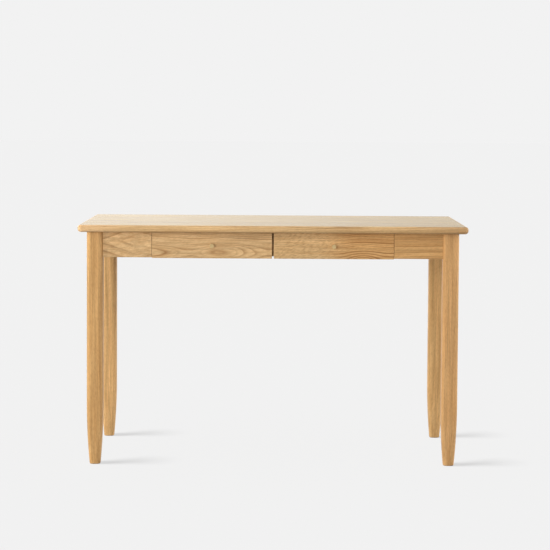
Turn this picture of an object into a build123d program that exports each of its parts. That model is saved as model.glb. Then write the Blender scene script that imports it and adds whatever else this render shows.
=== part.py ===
from build123d import *
import os
from math import sqrt

# A writing desk with two drawers, in millimetres.
# X runs from left to right as the sitter sees it, Y from front to rear, Z up from the floor.

# Tabletop
TOP_LENGTH = 1200.0
TOP_DEPTH = 600.0
TOP_THICKNESS = 22.0
TOP_EDGE_FLAT = 3.0
TOP_CORNER_RADIUS = 14.0
TOP_OVERHANG = 26.0
DESK_HEIGHT = 745.0

# Legs: straight above, drawn in along an arc towards the foot
LEG_SIDE = 50.0
LEG_CORNER_RADIUS = 13.0
FOOT_SIDE = 33.0
FOOT_ROUND = 2.5
TAPER_HEIGHT = 190.0

# Aprons, and the tenons that join them to the legs
APRON_HEIGHT = 79.0
APRON_THICKNESS = 20.0
APRON_SETBACK = 9.0
FRONT_APRON_LENGTH = 150.0
EDGE_EASE = 1.0
TENON_THICKNESS = 10.0
TENON_SHOULDER = 10.0
TENON_WALL = 6.0
MORTISE_SPARE = 1.0

# Flat rail under the top, behind the drawer fronts, dovetailed into the front legs
RAIL_THICKNESS = 18.0
RAIL_DEPTH = 80.0
TONGUE_LENGTH = 16.0
TONGUE_SHOULDER = 2.5
TONGUE_FLARE = 4.0
TONGUE_FLOOR = 1.0

# Centre partition and outer drawer guides
PARTITION_THICKNESS = 20.0
GUIDE_THICKNESS = 22.0
GUIDE_RISE = 4.0
DOWEL_RADIUS = 4.0
DOWEL_SPACING = 30.0
DOWEL_IN_GUIDE = 15.0
DOWEL_WALL = 5.0

# Drawer fronts
CENTRE_GAP = 6.0
FRONT_SIDE_GAP = 0.8
FRONT_TOP_GAP = 1.7
FRONT_STOP_GAP = 0.5

# Drawer boxes
BOX_END_THICKNESS = 12.0
BOX_SIDE_THICKNESS = 13.0
BOX_SIDE_GAP = 1.0
BOX_TOP_GAP = 4.0
BOX_RISE = 7.0
BOX_REAR_SPACE = 90.0
TAIL_COUNT = 3
PIN_WIDTH = 3.2
DOVETAIL_SLOPE = 1.0 / 8.0
BOTTOM_THICKNESS = 5.0
BOTTOM_RISE = 6.0
BOTTOM_GROOVE = 5.0
BOTTOM_SPARE = 0.2

# Runners, fixed to the guides, that enter grooves in the drawer sides
RUNNER_HEIGHT = 9.0
RUNNER_PROJECTION = 7.0
RUNNER_FRONT_GAP = 3.0
RUNNER_END_MARGIN = 30.0
GROOVE_SPARE = 0.3

# Stops under the rail that the drawer backs meet
STOP_WIDTH = 40.0
STOP_DEPTH = 20.0
STOP_CATCH = 6.0

# Corner blocks across the inner corners of the frame
BLOCK_THICKNESS = 22.0
BLOCK_HEIGHT = 40.0
BLOCK_LEG_GAP = 8.0
BLOCK_SCREW_SEAT = 10.0

# Steel clips that hold the top to the aprons
CLIP_SHEET = 1.5
CLIP_WIDTH = 20.0
CLIP_DROP = 12.0
CLIP_REACH = 20.0
CLIP_KERF = 7.0
CLIP_SPARE = 0.2
CLIP_SIDE_SPACING = 220.0

# Screws
SCREW_SPARE = 0.05
SCREW_POINT = 3.0
SMALL_SCREW_RADIUS = 1.75
SMALL_HEAD_RADIUS = 3.2
LARGE_SCREW_RADIUS = 2.0
LARGE_HEAD_RADIUS = 4.0
PAN_HEAD_HEIGHT = 2.6
SCREW_WALL = 1.5
TOP_BITE = 13.0
GUIDE_BITE = 26.0
RAIL_SCREW_SPACING = 180.0
GUIDE_SCREW_SPACING = 40.0
FRONT_SCREW_SPACING = 220.0
FRONT_SCREW_WALL = 4.0

# Knobs
KNOB_RADIUS = 7.0
KNOB_BASE_RADIUS = 5.5
KNOB_NECK_RADIUS = 3.8
KNOB_LENGTH = 19.0
KNOB_BASE_THICKNESS = 1.6
KNOB_HEAD_THICKNESS = 5.5
KNOB_DOME = 0.6
KNOB_RIM_RADIUS = 1.2
KNOB_THREAD_DEPTH = 8.0

# Places that follow from the sizes above
UNDERSIDE = DESK_HEIGHT - TOP_THICKNESS
APRON_BOTTOM = UNDERSIDE - APRON_HEIGHT
RAIL_BOTTOM = UNDERSIDE - RAIL_THICKNESS
LEG_X = TOP_LENGTH / 2 - TOP_OVERHANG - LEG_SIDE / 2
LEG_Y = TOP_DEPTH / 2 - TOP_OVERHANG - LEG_SIDE / 2
LEG_INNER_X = LEG_X - LEG_SIDE / 2
LEG_INNER_Y = LEG_Y - LEG_SIDE / 2
APRON_X = LEG_X + LEG_SIDE / 2 - APRON_SETBACK
APRON_Y = LEG_Y + LEG_SIDE / 2 - APRON_SETBACK
INNER_X = APRON_X - APRON_THICKNESS
INNER_Y = APRON_Y - APRON_THICKNESS
TENON_CHEEK = (APRON_THICKNESS - TENON_THICKNESS) / 2
TENON_LENGTH = INNER_X + TENON_CHEEK - LEG_INNER_X - TENON_WALL
TENON_HEIGHTS = (APRON_BOTTOM + TENON_SHOULDER, UNDERSIDE - TENON_SHOULDER)
RAIL_REAR_Y = RAIL_DEPTH - INNER_Y
TONGUE_Y = -(INNER_Y + LEG_INNER_Y) / 2
TONGUE_TIP = INNER_Y - LEG_INNER_Y - 2 * TONGUE_SHOULDER
TONGUE_ROOT = TONGUE_TIP - TONGUE_FLARE
TONGUE_BOTTOM = UNDERSIDE - TENON_SHOULDER + TONGUE_FLOOR

BAY_X = LEG_INNER_X - FRONT_APRON_LENGTH
FRONT_HALF = (BAY_X - FRONT_SIDE_GAP - CENTRE_GAP / 2) / 2
DRAWER_X = CENTRE_GAP / 2 + FRONT_HALF
FRONT_TOP = UNDERSIDE - FRONT_TOP_GAP
FRONT_BOTTOM = FRONT_TOP - APRON_HEIGHT
BOX_HALF = DRAWER_X - PARTITION_THICKNESS / 2 - BOX_SIDE_GAP
BOX_INNER_HALF = BOX_HALF - BOX_SIDE_THICKNESS
BOX_TOP = RAIL_BOTTOM - BOX_TOP_GAP
BOX_BOTTOM = APRON_BOTTOM + BOX_RISE
BOX_HEIGHT = BOX_TOP - BOX_BOTTOM
BOX_MIDDLE = (BOX_TOP + BOX_BOTTOM) / 2
BOX_FRONT_Y = -INNER_Y - FRONT_STOP_GAP
BOX_REAR_Y = INNER_Y - BOX_REAR_SPACE
BOX_FRONT_INNER_Y = BOX_FRONT_Y + BOX_END_THICKNESS
BOX_REAR_INNER_Y = BOX_REAR_Y - BOX_END_THICKNESS
BOTTOM_LEVELS = (BOX_BOTTOM + BOTTOM_RISE, BOX_BOTTOM + BOTTOM_RISE + BOTTOM_THICKNESS)
GUIDE_BOTTOM = APRON_BOTTOM + GUIDE_RISE
GUIDE_MIDDLE = (GUIDE_BOTTOM + RAIL_BOTTOM) / 2
GUIDE_FACE_X = DRAWER_X + BOX_HALF + BOX_SIDE_GAP
GUIDE_X = GUIDE_FACE_X + GUIDE_THICKNESS / 2
GUIDE_SCREW_Y = (RAIL_REAR_Y - INNER_Y) / 2
GROOVE_DEPTH = RUNNER_PROJECTION - BOX_SIDE_GAP + GROOVE_SPARE
RUNNER_FRONT_Y = BOX_FRONT_INNER_Y + RUNNER_FRONT_GAP
BLOCK_OUTER = INNER_X - LEG_INNER_X + INNER_Y - LEG_INNER_Y + BLOCK_LEG_GAP
BLOCK_INNER = BLOCK_OUTER + BLOCK_THICKNESS * sqrt(2)
BLOCK_SCREW_OFFSET = (BLOCK_OUTER + BLOCK_INNER) / 2
KNOB_Z = (FRONT_TOP + FRONT_BOTTOM) / 2

LEFT, RIGHT = -1, 1
FRONT, REAR = -1, 1
SIDE_NAMES = {LEFT: "left", RIGHT: "right"}
END_NAMES = {FRONT: "front", REAR: "rear"}
CORNERS = [(side, end) for end in (FRONT, REAR) for side in (LEFT, RIGHT)]


def span(sign, near, far):
    """Two distances from the middle of the desk, on the side that sign names, lower one first."""
    return tuple(sorted((sign * near, sign * far)))


def block(xs, ys, zs, mode=Mode.ADD):
    """A rectangular block between three pairs of limits, in the part being built."""
    centre = tuple(sum(pair) / 2 for pair in (xs, ys, zs))
    with Locations(centre):
        Box(*(pair[1] - pair[0] for pair in (xs, ys, zs)), mode=mode)


def facing(point, out):
    """The place of a screw or knob at point, whose head looks along out."""
    return Plane(origin=point, z_dir=out).location


def cut_holes(hole, places):
    """Takes a hole out of the part being built at each place."""
    with Locations(*places):
        add(hole, mode=Mode.SUBTRACT)


def save(part, name):
    part.label = name
    export_step(part, f"parts/{name}.step")


def save_group(solid, places, name):
    """Writes copies of one solid, a separate one at each place, as one piece."""
    with BuildPart() as group:
        with Locations(*places):
            add(solid)
    save(group.part, name)


# Screws point down from their seat, which is at the origin


def turned(profile):
    """A solid turned about Z from the corners of its half section, radius and height."""
    with BuildPart() as solid:
        with BuildSketch(Plane.XZ):
            with BuildLine():
                Polyline(*profile, close=True)
            make_face()
        revolve(axis=Axis.Z)
    return solid.part


def flat_head_screw(radius, head, length):
    return turned(
        [(0, 0), (head, 0), (radius, radius - head), (radius, SCREW_POINT - length), (0, -length)]
    )


def flat_head_hole(radius, head, length):
    wide = head + SCREW_SPARE
    bore = radius + SCREW_SPARE
    deep = -length - SCREW_SPARE
    return turned([(0, 0), (wide, 0), (bore, bore - wide), (bore, deep), (0, deep)])


def pan_head_screw(radius, head, length):
    rim = PAN_HEAD_HEIGHT / 2
    return turned(
        [
            (0, PAN_HEAD_HEIGHT),
            (radius, PAN_HEAD_HEIGHT),
            (head, rim),
            (head, 0),
            (radius, 0),
            (radius, SCREW_POINT - length),
            (0, -length),
        ]
    )


def pan_head_hole(radius, head, length, pocket):
    """The bore of a pan-head screw, with a pocket of this depth above its seat."""
    wide = head + SCREW_SPARE
    bore = radius + SCREW_SPARE
    deep = -length - SCREW_SPARE
    return turned([(0, pocket), (wide, pocket), (wide, 0), (bore, 0), (bore, deep), (0, deep)])


# Runner screws go through a runner, half-way into the partition or as far into a guide

RUNNER_SCREW = (
    SMALL_SCREW_RADIUS,
    SMALL_HEAD_RADIUS,
    RUNNER_PROJECTION + PARTITION_THICKNESS / 2 - SCREW_WALL,
)
RUNNER_SCREW_YS = (
    RUNNER_FRONT_Y + RUNNER_END_MARGIN,
    (RUNNER_FRONT_Y + BOX_REAR_Y) / 2,
    BOX_REAR_Y - RUNNER_END_MARGIN,
)


def runner_screw_places(face_x, out):
    """Where the screws of the runner that stands on face_x, towards out, have their heads."""
    head_x = face_x + out * RUNNER_PROJECTION
    return [facing((head_x, y, BOX_MIDDLE), (out, 0, 0)) for y in RUNNER_SCREW_YS]


# Each runner: the side of the desk, its place in the drawer bay, the face it stands on, the way it looks
RUNNERS = [
    (side, which, side * face, side * look)
    for side in (LEFT, RIGHT)
    for which, face, look in (("inner", PARTITION_THICKNESS / 2, 1), ("outer", GUIDE_FACE_X, -1))
]

# Screws through the rail: up into the top, and down into the partition and guides

RAIL_SCREW = (LARGE_SCREW_RADIUS, LARGE_HEAD_RADIUS, RAIL_THICKNESS + TOP_BITE)
RAIL_SCREW_PLACES = [
    facing((side * DRAWER_X + shift, GUIDE_SCREW_Y, RAIL_BOTTOM), (0, 0, -1))
    for side in (LEFT, RIGHT)
    for shift in (-RAIL_SCREW_SPACING / 2, RAIL_SCREW_SPACING / 2)
]
GUIDE_SCREW = (LARGE_SCREW_RADIUS, LARGE_HEAD_RADIUS, RAIL_THICKNESS + GUIDE_BITE)


def guide_screw_places(x):
    return [
        facing((x, GUIDE_SCREW_Y + shift, UNDERSIDE), (0, 0, 1))
        for shift in (-GUIDE_SCREW_SPACING / 2, GUIDE_SCREW_SPACING / 2)
    ]


# Dowels between the rear ends of the partition and guides and the rear apron

DOWEL_IN_APRON = APRON_THICKNESS - DOWEL_WALL
DOWEL = turned(
    [
        (0, -DOWEL_IN_GUIDE),
        (DOWEL_RADIUS, -DOWEL_IN_GUIDE),
        (DOWEL_RADIUS, DOWEL_IN_APRON),
        (0, DOWEL_IN_APRON),
    ]
)
DOWEL_HOLE = turned(
    [
        (0, -DOWEL_IN_GUIDE - MORTISE_SPARE),
        (DOWEL_RADIUS + SCREW_SPARE, -DOWEL_IN_GUIDE - MORTISE_SPARE),
        (DOWEL_RADIUS + SCREW_SPARE, DOWEL_IN_APRON + MORTISE_SPARE),
        (0, DOWEL_IN_APRON + MORTISE_SPARE),
    ]
)


def dowel_places(x):
    return [
        facing((x, INNER_Y, GUIDE_MIDDLE + shift), (0, 1, 0))
        for shift in (-DOWEL_SPACING / 2, DOWEL_SPACING / 2)
    ]


GUIDE_XS = (-GUIDE_X, 0, GUIDE_X)

# Corner block screws, one into each of the two aprons that a block joins

BLOCK_SCREW = (
    LARGE_SCREW_RADIUS,
    LARGE_HEAD_RADIUS,
    BLOCK_SCREW_SEAT + APRON_THICKNESS - TENON_CHEEK,
)
BLOCK_SCREW_HOLE = pan_head_hole(*BLOCK_SCREW, pocket=BLOCK_THICKNESS)


def block_top(end):
    """Front blocks sit under the rail, rear blocks under the top."""
    return RAIL_BOTTOM if end == FRONT else UNDERSIDE


def side_block_screw(side, end):
    x = side * (INNER_X - BLOCK_SCREW_SEAT)
    y = end * (INNER_Y - BLOCK_SCREW_OFFSET)
    return facing((x, y, block_top(end) - BLOCK_HEIGHT / 2), (-side, 0, 0))


def end_block_screw(side, end):
    x = side * (INNER_X - BLOCK_SCREW_OFFSET)
    y = end * (INNER_Y - BLOCK_SCREW_SEAT)
    return facing((x, y, block_top(end) - BLOCK_HEIGHT / 2), (0, -end, 0))


# Clips, drawn with the apron's inner face at X = 0 and the top's underside at Z = 0

CLIP_SCREW = (LARGE_SCREW_RADIUS, LARGE_HEAD_RADIUS, CLIP_SHEET + TOP_BITE)
CLIP_SCREW_HOLE = pan_head_hole(*CLIP_SCREW, pocket=PAN_HEAD_HEIGHT)
CLIP_SCREW_X = (CLIP_SHEET + CLIP_REACH) / 2
SIDE_CLIP_YS = (-CLIP_SIDE_SPACING / 2, CLIP_SIDE_SPACING / 2)


def clip():
    with BuildPart() as made:
        with BuildSketch(Plane.XZ):
            with BuildLine():
                Polyline(
                    (0, 0),
                    (CLIP_REACH, 0),
                    (CLIP_REACH, -CLIP_SHEET),
                    (CLIP_SHEET, -CLIP_SHEET),
                    (CLIP_SHEET, -CLIP_DROP),
                    (-CLIP_KERF, -CLIP_DROP),
                    (-CLIP_KERF, CLIP_SHEET - CLIP_DROP),
                    (0, CLIP_SHEET - CLIP_DROP),
                    close=True,
                )
            make_face()
        extrude(amount=CLIP_WIDTH / 2, both=True)
        cut_holes(CLIP_SCREW_HOLE, [facing((CLIP_SCREW_X, 0, -CLIP_SHEET), (0, 0, -1))])
    return made.part


def clip_kerf():
    half = CLIP_WIDTH / 2 + MORTISE_SPARE
    low = -CLIP_DROP - CLIP_SPARE
    high = CLIP_SHEET - CLIP_DROP + CLIP_SPARE
    with BuildPart() as made:
        block((-CLIP_KERF - MORTISE_SPARE, 0), (-half, half), (low, high))
    return made.part


def side_clip_places(side):
    turn = 180 if side == RIGHT else 0
    return [Location((side * INNER_X, y, UNDERSIDE), (0, 0, turn)) for y in SIDE_CLIP_YS]


REAR_CLIP_PLACES = [
    Location((side * DRAWER_X, INNER_Y, UNDERSIDE), (0, 0, -90)) for side in (LEFT, RIGHT)
]
CLIP_PLACES = side_clip_places(LEFT) + side_clip_places(RIGHT) + REAR_CLIP_PLACES
CLIP_KERF_CUT = clip_kerf()
CLIP_SCREW_PLACES = [
    place * facing((CLIP_SCREW_X, 0, -CLIP_SHEET), (0, 0, -1)) for place in CLIP_PLACES
]

# Stop screws go up through a stop into the rail

STOP_HEIGHT = BOX_TOP_GAP + STOP_CATCH
STOP_SCREW = (
    SMALL_SCREW_RADIUS,
    SMALL_HEAD_RADIUS,
    STOP_HEIGHT + RAIL_THICKNESS - FRONT_SCREW_WALL,
)
STOP_SCREW_PLACES = {
    side: facing((side * DRAWER_X, RAIL_REAR_Y - STOP_DEPTH / 2, RAIL_BOTTOM - STOP_HEIGHT), (0, 0, -1))
    for side in (LEFT, RIGHT)
}


def tabletop():
    radius = (TOP_THICKNESS - TOP_EDGE_FLAT) / 2
    with BuildPart() as top:
        with BuildSketch(Plane.XY.offset(UNDERSIDE)):
            RectangleRounded(TOP_LENGTH, TOP_DEPTH, TOP_CORNER_RADIUS)
        extrude(amount=TOP_THICKNESS)
        levels = top.edges().group_by(Axis.Z)
        fillet(levels[0] + levels[-1], radius)
        cut_holes(flat_head_hole(*RAIL_SCREW), RAIL_SCREW_PLACES)
        cut_holes(CLIP_SCREW_HOLE, CLIP_SCREW_PLACES)
    return top.part


def leg_blank():
    """A leg about the Z axis, before its mortises are cut."""
    half = LEG_SIDE / 2
    foot = FOOT_SIDE / 2
    with BuildPart() as blank:
        for plane in (Plane.XZ, Plane.YZ):
            with BuildSketch(plane) as elevation:
                with BuildLine():
                    Line((0, 0), (foot, 0))
                    TangentArc((half, TAPER_HEIGHT), (foot, 0), tangent=(0, -1))
                    Line((half, TAPER_HEIGHT), (half, UNDERSIDE))
                    Line((half, UNDERSIDE), (0, UNDERSIDE))
                    Line((0, UNDERSIDE), (0, 0))
                make_face()
                mirror(about=Plane.YZ)
            crossed = Mode.ADD if plane == Plane.XZ else Mode.INTERSECT
            extrude(elevation.sketch, amount=half, both=True, mode=crossed)
        corners = blank.edges().filter_by(lambda edge: abs(edge.tangent_at(0.5).Z) > 0.5)
        fillet(corners, min(LEG_CORNER_RADIUS, FOOT_SIDE / 2 - FOOT_ROUND))
        fillet(blank.faces().sort_by(Axis.Z)[0].edges(), FOOT_ROUND)
    return blank.part


def side_tenon(side, end, spare=0.0, mode=Mode.ADD):
    """The end of a side apron inside a leg."""
    xs = span(side, INNER_X + TENON_CHEEK, APRON_X - TENON_CHEEK)
    block(xs, span(end, LEG_INNER_Y, LEG_INNER_Y + TENON_LENGTH + spare), TENON_HEIGHTS, mode)


def end_tenon(side, end, spare=0.0, mode=Mode.ADD):
    """The end of a front or rear apron inside a leg."""
    ys = span(end, INNER_Y + TENON_CHEEK, APRON_Y - TENON_CHEEK)
    block(span(side, LEG_INNER_X, LEG_INNER_X + TENON_LENGTH + spare), ys, TENON_HEIGHTS, mode)


def rail_tongue(side):
    """Plan of the rail's dovetail in a front leg, as corner points."""
    root_x = side * LEG_INNER_X
    tip_x = side * (LEG_INNER_X + TONGUE_LENGTH)
    root = TONGUE_ROOT / 2
    tip = TONGUE_TIP / 2
    return [
        (root_x, TONGUE_Y - root),
        (tip_x, TONGUE_Y - tip),
        (tip_x, TONGUE_Y + tip),
        (root_x, TONGUE_Y + root),
    ]


def leg(blank, side, end):
    with BuildPart() as made:
        with Locations((side * LEG_X, end * LEG_Y, 0)):
            add(blank)
        side_tenon(side, end, MORTISE_SPARE, Mode.SUBTRACT)
        end_tenon(side, end, MORTISE_SPARE, Mode.SUBTRACT)
        if end == FRONT:
            with BuildSketch(Plane.XY.offset(TONGUE_BOTTOM)):
                with BuildLine():
                    Polyline(*rail_tongue(side), close=True)
                make_face()
            extrude(amount=UNDERSIDE - TONGUE_BOTTOM, mode=Mode.SUBTRACT)
    return made.part


def side_apron(side):
    with BuildPart() as apron:
        block(
            span(side, INNER_X, APRON_X), (-LEG_INNER_Y, LEG_INNER_Y), (APRON_BOTTOM, UNDERSIDE)
        )
        fillet(apron.edges().filter_by(Axis.Y).group_by(Axis.Z)[0], EDGE_EASE)
        for end in (FRONT, REAR):
            side_tenon(side, end)
        cut_holes(BLOCK_SCREW_HOLE, [side_block_screw(side, end) for end in (FRONT, REAR)])
        cut_holes(CLIP_KERF_CUT, side_clip_places(side))
    return apron.part


def rear_apron():
    with BuildPart() as apron:
        block((-LEG_INNER_X, LEG_INNER_X), (INNER_Y, APRON_Y), (APRON_BOTTOM, UNDERSIDE))
        fillet(apron.edges().filter_by(Axis.X).group_by(Axis.Z)[0], EDGE_EASE)
        for side in (LEFT, RIGHT):
            end_tenon(side, REAR)
        cut_holes(BLOCK_SCREW_HOLE, [end_block_screw(side, REAR) for side in (LEFT, RIGHT)])
        cut_holes(CLIP_KERF_CUT, REAR_CLIP_PLACES)
        cut_holes(DOWEL_HOLE, [place for x in GUIDE_XS for place in dowel_places(x)])
    return apron.part


def front_apron(side):
    with BuildPart() as apron:
        block(span(side, BAY_X, LEG_INNER_X), (-APRON_Y, -INNER_Y), (APRON_BOTTOM, UNDERSIDE))
        lower = apron.edges().filter_by(Axis.X).group_by(Axis.Z)[0]
        front_uprights = apron.edges().filter_by(Axis.Z).group_by(Axis.Y)[0]
        beside_drawer = front_uprights.sort_by(Axis.X)[-1 if side == LEFT else 0]
        fillet(lower + [beside_drawer], EDGE_EASE)
        end_tenon(side, FRONT)
        cut_holes(BLOCK_SCREW_HOLE, [end_block_screw(side, FRONT)])
    return apron.part


def front_rail():
    with BuildPart() as rail:
        block((-LEG_INNER_X, LEG_INNER_X), (-INNER_Y, RAIL_REAR_Y), (RAIL_BOTTOM, UNDERSIDE))
        for side in (LEFT, RIGHT):
            with BuildSketch(Plane.XY.offset(TONGUE_BOTTOM)):
                with BuildLine():
                    Polyline(*rail_tongue(side), close=True)
                make_face()
            extrude(amount=UNDERSIDE - TONGUE_BOTTOM)
        cut_holes(flat_head_hole(*RAIL_SCREW), RAIL_SCREW_PLACES)
        cut_holes(flat_head_hole(*STOP_SCREW), STOP_SCREW_PLACES.values())
        for x in GUIDE_XS:
            cut_holes(flat_head_hole(*GUIDE_SCREW), guide_screw_places(x))
    return rail.part


def guide_board(x, thickness, runner_faces):
    """The partition or a guide, with holes for the runners on the faces given."""
    with BuildPart() as board:
        xs = (x - thickness / 2, x + thickness / 2)
        block(xs, (-INNER_Y, INNER_Y), (GUIDE_BOTTOM, RAIL_BOTTOM))
        cut_holes(flat_head_hole(*GUIDE_SCREW), guide_screw_places(x))
        cut_holes(DOWEL_HOLE, dowel_places(x))
        for face_x, out in runner_faces:
            cut_holes(flat_head_hole(*RUNNER_SCREW), runner_screw_places(face_x, out))
    return board.part


def runner(face_x, out):
    half = RUNNER_HEIGHT / 2
    with BuildPart() as made:
        xs = tuple(sorted((face_x, face_x + out * RUNNER_PROJECTION)))
        block(xs, (RUNNER_FRONT_Y, BOX_REAR_Y), (BOX_MIDDLE - half, BOX_MIDDLE + half))
        cut_holes(flat_head_hole(*RUNNER_SCREW), runner_screw_places(face_x, out))
    return made.part


def corner_block(side, end):
    """A brace across the corner, clear of the leg's inner edge."""
    corner_x = side * INNER_X
    corner_y = end * INNER_Y
    with BuildPart() as brace:
        with BuildSketch(Plane.XY.offset(block_top(end) - BLOCK_HEIGHT)):
            with BuildLine():
                Polyline(
                    (corner_x, corner_y - end * BLOCK_OUTER),
                    (corner_x, corner_y - end * BLOCK_INNER),
                    (corner_x - side * BLOCK_INNER, corner_y),
                    (corner_x - side * BLOCK_OUTER, corner_y),
                    close=True,
                )
            make_face()
        extrude(amount=BLOCK_HEIGHT)
        cut_holes(BLOCK_SCREW_HOLE, [side_block_screw(side, end), end_block_screw(side, end)])
    return brace.part


def drawer_stop(side):
    x = side * DRAWER_X
    with BuildPart() as stop:
        block(
            (x - STOP_WIDTH / 2, x + STOP_WIDTH / 2),
            (RAIL_REAR_Y - STOP_DEPTH, RAIL_REAR_Y),
            (RAIL_BOTTOM - STOP_HEIGHT, RAIL_BOTTOM),
        )
        cut_holes(flat_head_hole(*STOP_SCREW), [STOP_SCREW_PLACES[side]])
    return stop.part


# Drawers: x is the middle of the drawer

FRONT_SCREW = (
    LARGE_SCREW_RADIUS,
    LARGE_HEAD_RADIUS,
    BOX_END_THICKNESS + APRON_THICKNESS - FRONT_STOP_GAP - FRONT_SCREW_WALL,
)
KNOB_SCREW = (
    LARGE_SCREW_RADIUS,
    LARGE_HEAD_RADIUS,
    BOX_END_THICKNESS + APRON_THICKNESS - FRONT_STOP_GAP + KNOB_THREAD_DEPTH,
)


def front_screw_places(x):
    return [
        facing((x + shift, BOX_FRONT_INNER_Y, BOX_MIDDLE), (0, 1, 0))
        for shift in (-FRONT_SCREW_SPACING / 2, FRONT_SCREW_SPACING / 2)
    ]


def knob_screw_place(x):
    return facing((x, BOX_FRONT_INNER_Y, KNOB_Z), (0, 1, 0))


def knob_screw_hole():
    return pan_head_hole(*KNOB_SCREW, pocket=PAN_HEAD_HEIGHT)


def drawer_front(x):
    with BuildPart() as front:
        block((x - FRONT_HALF, x + FRONT_HALF), (-APRON_Y, BOX_FRONT_Y), (FRONT_BOTTOM, FRONT_TOP))
        fillet(front.faces().sort_by(Axis.Y)[0].edges(), EDGE_EASE)
        cut_holes(flat_head_hole(*FRONT_SCREW), front_screw_places(x))
        cut_holes(knob_screw_hole(), [knob_screw_place(x)])
    return front.part


def tail_outlines(root_y, tip_y):
    """Corner points in Y and Z of the dovetails of a drawer side, from their roots to their tips."""
    pitch = BOX_HEIGHT / TAIL_COUNT
    tip = (pitch - PIN_WIDTH) / 2
    root = tip - abs(tip_y - root_y) * DOVETAIL_SLOPE
    middles = [BOX_BOTTOM + pitch * (number + 0.5) for number in range(TAIL_COUNT)]
    return [
        [(root_y, z - root), (tip_y, z - tip), (tip_y, z + tip), (root_y, z + root)] for z in middles
    ]


FRONT_TAILS = tail_outlines(BOX_FRONT_INNER_Y, BOX_FRONT_Y)
REAR_TAILS = tail_outlines(BOX_REAR_INNER_Y, BOX_REAR_Y)


def cut_bottom_groove(x):
    """The groove that the drawer's bottom sits in, cut out of the box piece being built."""
    half = BOX_INNER_HALF + BOTTOM_GROOVE + BOTTOM_SPARE
    front = BOX_FRONT_INNER_Y - BOTTOM_GROOVE - BOTTOM_SPARE
    rear = BOX_REAR_INNER_Y + BOTTOM_GROOVE + BOTTOM_SPARE
    levels = (BOTTOM_LEVELS[0], BOTTOM_LEVELS[1] + BOTTOM_SPARE)
    block((x - half, x + half), (front, rear), levels, Mode.SUBTRACT)


def cut_runner_groove(x, wall):
    """The groove for a runner in the outside of a drawer side, open at the rear."""
    half = RUNNER_HEIGHT / 2 + GROOVE_SPARE
    xs = tuple(sorted((x + wall * BOX_HALF, x + wall * (BOX_HALF - GROOVE_DEPTH))))
    levels = (BOX_MIDDLE - half, BOX_MIDDLE + half)
    block(xs, (BOX_FRONT_INNER_Y, BOX_REAR_Y), levels, Mode.SUBTRACT)


def drawer_side(x, wall):
    with BuildPart() as side:
        low_x = min(x + wall * BOX_HALF, x + wall * BOX_INNER_HALF)
        with BuildSketch(Plane.YZ.offset(low_x)):
            with Locations(((BOX_FRONT_INNER_Y + BOX_REAR_INNER_Y) / 2, BOX_MIDDLE)):
                Rectangle(BOX_REAR_INNER_Y - BOX_FRONT_INNER_Y, BOX_HEIGHT)
            for outline in FRONT_TAILS + REAR_TAILS:
                with BuildLine():
                    Polyline(*outline, close=True)
                make_face()
        extrude(amount=BOX_SIDE_THICKNESS)
        cut_bottom_groove(x)
        cut_runner_groove(x, wall)
    return side.part


def drawer_box_end(x, ys, tails, holes):
    """The box front or back, with sockets for the tails and with the holes given, each with its places."""
    with BuildPart() as end:
        block((x - BOX_HALF, x + BOX_HALF), ys, (BOX_BOTTOM, BOX_TOP))
        for low_x in (x - BOX_HALF, x + BOX_INNER_HALF):
            with BuildSketch(Plane.YZ.offset(low_x)):
                for outline in tails:
                    with BuildLine():
                        Polyline(*outline, close=True)
                    make_face()
            extrude(amount=BOX_SIDE_THICKNESS, mode=Mode.SUBTRACT)
        cut_bottom_groove(x)
        for wall in (LEFT, RIGHT):
            cut_runner_groove(x, wall)
        for hole, places in holes:
            cut_holes(hole, places)
    return end.part


def drawer_bottom(x):
    half = BOX_INNER_HALF + BOTTOM_GROOVE
    with BuildPart() as bottom:
        block(
            (x - half, x + half),
            (BOX_FRONT_INNER_Y - BOTTOM_GROOVE, BOX_REAR_INNER_Y + BOTTOM_GROOVE),
            BOTTOM_LEVELS,
        )
    return bottom.part


def knob():
    """A turned knob on Z, with its base at the origin and a threaded bore behind."""
    waist = (KNOB_BASE_THICKNESS + KNOB_LENGTH - KNOB_HEAD_THICKNESS) / 2
    shoulder = KNOB_LENGTH - KNOB_HEAD_THICKNESS
    rim = KNOB_LENGTH - KNOB_DOME
    bore = LARGE_SCREW_RADIUS + SCREW_SPARE
    with BuildPart() as made:
        with BuildSketch(Plane.XZ) as half_section:
            with BuildLine():
                Line((0, 0), (KNOB_BASE_RADIUS, 0))
                Line((KNOB_BASE_RADIUS, 0), (KNOB_BASE_RADIUS, KNOB_BASE_THICKNESS))
                Spline(
                    (KNOB_BASE_RADIUS, KNOB_BASE_THICKNESS),
                    (KNOB_NECK_RADIUS, waist),
                    (KNOB_RADIUS, shoulder),
                )
                Line((KNOB_RADIUS, shoulder), (KNOB_RADIUS, rim))
                TangentArc((0, KNOB_LENGTH), (KNOB_RADIUS, rim), tangent=(1, 0))
                Line((0, KNOB_LENGTH), (0, 0))
            make_face()
            outermost = half_section.vertices().group_by(Axis.X)[-1]
            fillet(outermost.sort_by(Axis.Y)[-1], KNOB_RIM_RADIUS)
        revolve(axis=Axis.Z)
        with BuildSketch():
            Circle(bore)
        extrude(amount=KNOB_THREAD_DEPTH + SCREW_SPARE, mode=Mode.SUBTRACT)
    return made.part


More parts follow.
